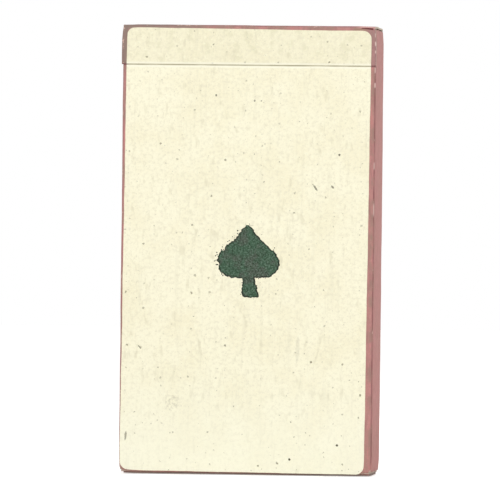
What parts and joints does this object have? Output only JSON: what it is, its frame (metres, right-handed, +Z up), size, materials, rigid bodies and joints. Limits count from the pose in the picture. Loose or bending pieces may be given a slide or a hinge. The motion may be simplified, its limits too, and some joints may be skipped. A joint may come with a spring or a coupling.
{
  "type": "tarot card deck",
  "caption": "Tarot card pack in an upright folding carton with a cream label, a stencilled spade and a lid hinged on a crease, holding suited cards and trumps.",
  "frame": {"origin": "under the middle of the carton, on the surface that it stands on", "axes": "+Z up along the cards' height, +X right across the labelled face, +Y from the labelled face to the back"},
  "size_m": [0.0656, 0.0292, 0.1162],
  "materials": {
    "board": "matt mauve-pink carton board, worn at its edges",
    "label_paper": "matt aged cream paper with small flecks",
    "spade_paint": "matt dark green-black stencil paint",
    "card_stock": "satin card stock with cream edges"
  },
  "bodies": {
    "box": {"front_panel": "board", "back_panel": "board", "left_side_panel": "board", "right_side_panel": "board", "glue_flap": "board", "bottom_outer_flap": "board", "bottom_inner_flap": "board", "bottom_dust_flap_left": "board", "bottom_dust_flap_right": "board", "front_label": "label_paper", "spade_print": "spade_paint"},
    "lid": {"lid_hinge_strip": "board", "lid_top_panel": "board", "lid_label": "label_paper"},
    "tuck_flap": {"tuck_flap": "board"},
    "dust_flap_left": {"dust_flap_left": "board"},
    "dust_flap_right": {"dust_flap_right": "board"},
    "spades": {"spade_pips": "card_stock", "spade_courts": "card_stock"},
    "hearts": {"heart_pips": "card_stock", "heart_courts": "card_stock"},
    "diamonds": {"diamond_pips": "card_stock", "diamond_courts": "card_stock"},
    "clubs": {"club_pips": "card_stock", "club_courts": "card_stock"},
    "trumps": {"trumps": "card_stock", "fool": "card_stock"}
  },
  "joints": [
    {"name": "lid_hinge", "type": "hinge", "parent": "box", "child": "lid", "pos_m": [0, -0.01451, 0.10585], "axis": [1, 0, 0], "range_deg": [0, 150]},
    {"name": "tuck_flap_fold", "type": "hinge", "parent": "lid", "child": "tuck_flap", "pos_m": [0, 0.01362, 0.11602], "axis": [1, 0, 0], "range_deg": [0, 37.5]},
    {"name": "dust_flap_left_fold", "type": "hinge", "parent": "box", "child": "dust_flap_left", "pos_m": [-0.0328, 0, 0.1154], "axis": [0, -1, 0], "range_deg": [0, 112.5]},
    {"name": "dust_flap_right_fold", "type": "hinge", "parent": "box", "child": "dust_flap_right", "pos_m": [0.0328, 0, 0.1154], "axis": [0, 1, 0], "range_deg": [0, 112.5]},
    {"name": "spades_slide", "type": "slide", "parent": "box", "child": "spades", "axis": [0, 0, 1], "range_m": [0, 0.00419]},
    {"name": "hearts_slide", "type": "slide", "parent": "box", "child": "hearts", "axis": [0, 0, 1], "range_m": [0, 0.00603]},
    {"name": "diamonds_slide", "type": "slide", "parent": "box", "child": "diamonds", "axis": [0, 0, 1], "range_m": [0, 0.0076]},
    {"name": "clubs_slide", "type": "slide", "parent": "box", "child": "clubs", "axis": [0, 0, 1], "range_m": [0, 0.00943]},
    {"name": "trumps_slide", "type": "slide", "parent": "box", "child": "trumps", "axis": [0, 0, 1], "range_m": [0, 0.011]}
  ],
  "couplings": [
    {"joint": "tuck_flap_fold", "follows": "lid_hinge", "ratio": 0.25},
    {"joint": "dust_flap_left_fold", "follows": "lid_hinge", "ratio": 0.75},
    {"joint": "dust_flap_right_fold", "follows": "lid_hinge", "ratio": 0.75},
    {"joint": "spades_slide", "follows": "lid_hinge", "m_per_rad": 0.0016},
    {"joint": "hearts_slide", "follows": "lid_hinge", "m_per_rad": 0.0023},
    {"joint": "diamonds_slide", "follows": "lid_hinge", "m_per_rad": 0.0029},
    {"joint": "clubs_slide", "follows": "lid_hinge", "m_per_rad": 0.0036},
    {"joint": "trumps_slide", "follows": "lid_hinge", "m_per_rad": 0.0042}
  ]
}
